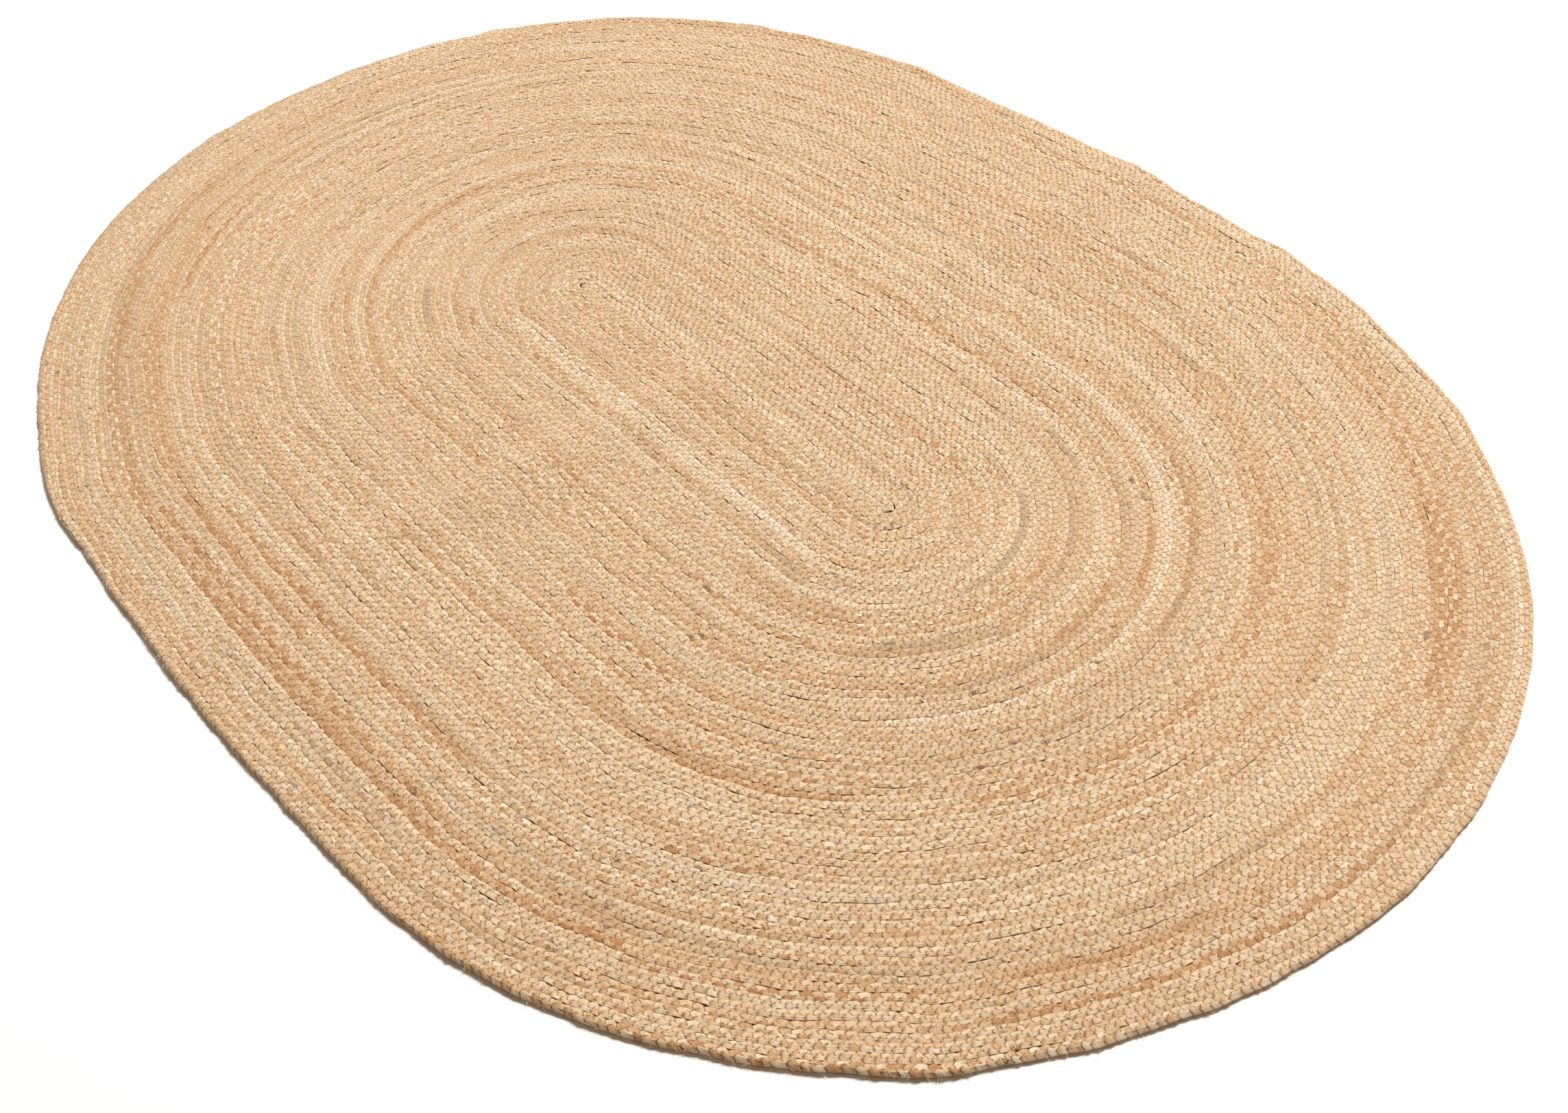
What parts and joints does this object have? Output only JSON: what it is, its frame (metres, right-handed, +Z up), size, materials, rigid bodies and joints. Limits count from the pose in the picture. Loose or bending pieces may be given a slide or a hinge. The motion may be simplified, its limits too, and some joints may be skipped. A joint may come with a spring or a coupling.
{
  "type": "oval plaited jute rug",
  "caption": "Flat oval floor rug of one long jute plait coiled round a straight strip and sewn edge to edge, with a slightly wavy rim and one soft fold across.",
  "frame": {"origin": "under the middle of the rug, on the floor that it lies on", "axes": "+Z up, +X along the rug's long way, +Y across it"},
  "size_m": [2.2486, 1.6562, 0.016],
  "materials": {
    "jute": "dry matt plaited jute fibre in uneven beige, with paler, orange and khaki lengths"
  },
  "bodies": {
    "root": {"plaited_rug": "jute"}
  },
  "joints": []
}
